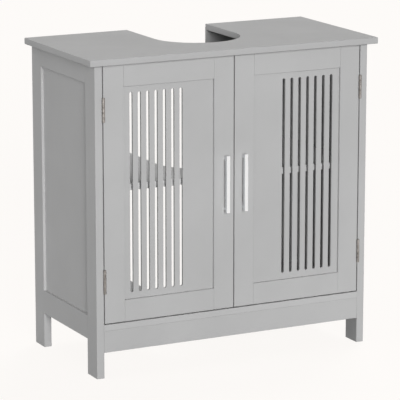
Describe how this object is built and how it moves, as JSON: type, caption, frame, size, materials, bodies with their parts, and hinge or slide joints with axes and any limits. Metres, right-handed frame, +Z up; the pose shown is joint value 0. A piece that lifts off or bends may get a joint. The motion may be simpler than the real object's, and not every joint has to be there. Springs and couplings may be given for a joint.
{
  "type": "under-sink cabinet",
  "caption": "Freestanding cabinet for under a washbasin: rear cut-out for the pedestal, hinged doors with upright vent slots, an adjustable shelf and panelled sides on legs.",
  "frame": {"origin": "on the floor, under the middle of the worktop", "axes": "+X to the right seen from the front, +Y to the back, towards the wall, +Z up"},
  "size_m": [0.6, 0.3, 0.6],
  "materials": {
    "painted_board": "satin light grey paint on smooth fibreboard",
    "handle_metal": "brushed nickel",
    "hinge_metal": "satin antique nickel",
    "zinc_plate": "bright zinc plate",
    "cast_zinc": "raw die-cast zinc",
    "beech": "plain beech",
    "catch_plastic": "moulded, pale grey",
    "catch_steel": "zinc-plated pole plates round a dark magnet"
  },
  "bodies": {
    "cabinet": {"worktop": "painted_board", "bottom_panel": "painted_board", "front_apron": "painted_board", "wooden_dowels": "beech", "cam_bolts": "zinc_plate", "cam_locks": "cast_zinc", "back_panel_screws": "zinc_plate", "shelf_pins": "zinc_plate", "hinge_pins": "hinge_metal", "frame_leaf_screws": "hinge_metal", "catch_screws": "zinc_plate", "left_front_leg": "painted_board", "left_back_leg": "painted_board", "left_top_rail": "painted_board", "left_low_rail": "painted_board", "left_side_panel": "painted_board", "left_back_panel": "painted_board", "left_catch_case": "catch_plastic", "left_catch_magnet": "catch_steel", "left_upper_frame_leaf": "hinge_metal", "left_lower_frame_leaf": "hinge_metal", "right_front_leg": "painted_board", "right_back_leg": "painted_board", "right_top_rail": "painted_board", "right_low_rail": "painted_board", "right_side_panel": "painted_board", "right_back_panel": "painted_board", "right_catch_case": "catch_plastic", "right_catch_magnet": "catch_steel", "right_upper_frame_leaf": "hinge_metal", "right_lower_frame_leaf": "hinge_metal"},
    "left_door": {"left_door_hinge_stile": "painted_board", "left_door_meeting_stile": "painted_board", "left_door_top_rail": "painted_board", "left_door_bottom_rail": "painted_board", "left_door_panel": "painted_board", "left_door_handle": "handle_metal", "left_handle_screws": "zinc_plate", "left_upper_door_leaf": "hinge_metal", "left_lower_door_leaf": "hinge_metal", "left_door_leaf_screws": "hinge_metal", "left_strike_plate": "zinc_plate", "left_strike_screw": "zinc_plate"},
    "right_door": {"right_door_hinge_stile": "painted_board", "right_door_meeting_stile": "painted_board", "right_door_top_rail": "painted_board", "right_door_bottom_rail": "painted_board", "right_door_panel": "painted_board", "right_door_handle": "handle_metal", "right_handle_screws": "zinc_plate", "right_upper_door_leaf": "hinge_metal", "right_lower_door_leaf": "hinge_metal", "right_door_leaf_screws": "hinge_metal", "right_strike_plate": "zinc_plate", "right_strike_screw": "zinc_plate"},
    "shelf": {"shelf": "painted_board"}
  },
  "joints": [
    {"name": "left_door_hinge", "type": "hinge", "parent": "cabinet", "child": "left_door", "pos_m": [-0.269, -0.1379, 0.345], "axis": [0, 0, -1], "range_deg": [0, 180]},
    {"name": "right_door_hinge", "type": "hinge", "parent": "cabinet", "child": "right_door", "pos_m": [0.269, -0.1379, 0.345], "axis": [0, 0, 1], "range_deg": [0, 180]},
    {"name": "shelf_lift", "type": "slide", "parent": "cabinet", "child": "shelf", "axis": [0, 0, 1], "range_m": [0, 0.025]}
  ]
}
